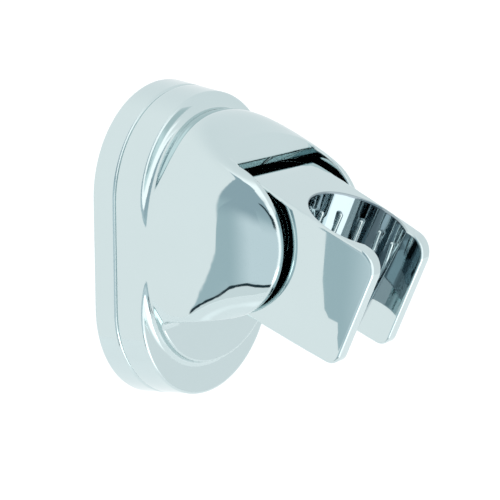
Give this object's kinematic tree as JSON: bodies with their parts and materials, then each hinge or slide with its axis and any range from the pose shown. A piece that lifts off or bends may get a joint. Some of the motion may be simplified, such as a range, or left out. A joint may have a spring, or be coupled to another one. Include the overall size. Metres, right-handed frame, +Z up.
{
  "type": "hand shower holder",
  "caption": "Wall-mounted chrome hand shower holder with a domed body and a forked cradle that tilts up and down between two ears.",
  "frame": {"origin": "centre of the wall plate's back face, on the wall", "axes": "+Z up along the wall, -Y out of the wall towards the cradle, +X to the right for someone who faces the wall"},
  "size_m": [0.053, 0.071, 0.08],
  "materials": {
    "plate_chrome": "polished chrome plating on plastic",
    "body_chrome": "polished chrome plating on plastic",
    "cradle_chrome": "polished chrome plating on plastic",
    "button_plastic": "moulded acetal",
    "spring_steel": "drawn stainless wire",
    "screw_steel": "plain stainless steel"
  },
  "bodies": {
    "base": {"wall_plate": "plate_chrome", "holder_body": "body_chrome", "grub_screw": "screw_steel"},
    "tilting_cradle": {"cradle": "cradle_chrome", "pivot_button_left": "button_plastic", "pivot_button_right": "button_plastic", "pivot_spring": "spring_steel"}
  },
  "joints": [
    {"name": "cradle_tilt", "type": "hinge", "parent": "base", "child": "tilting_cradle", "pos_m": [0, -0.0328, 0.0059], "axis": [-1, 0, 0], "range_deg": [-45, 42]}
  ]
}
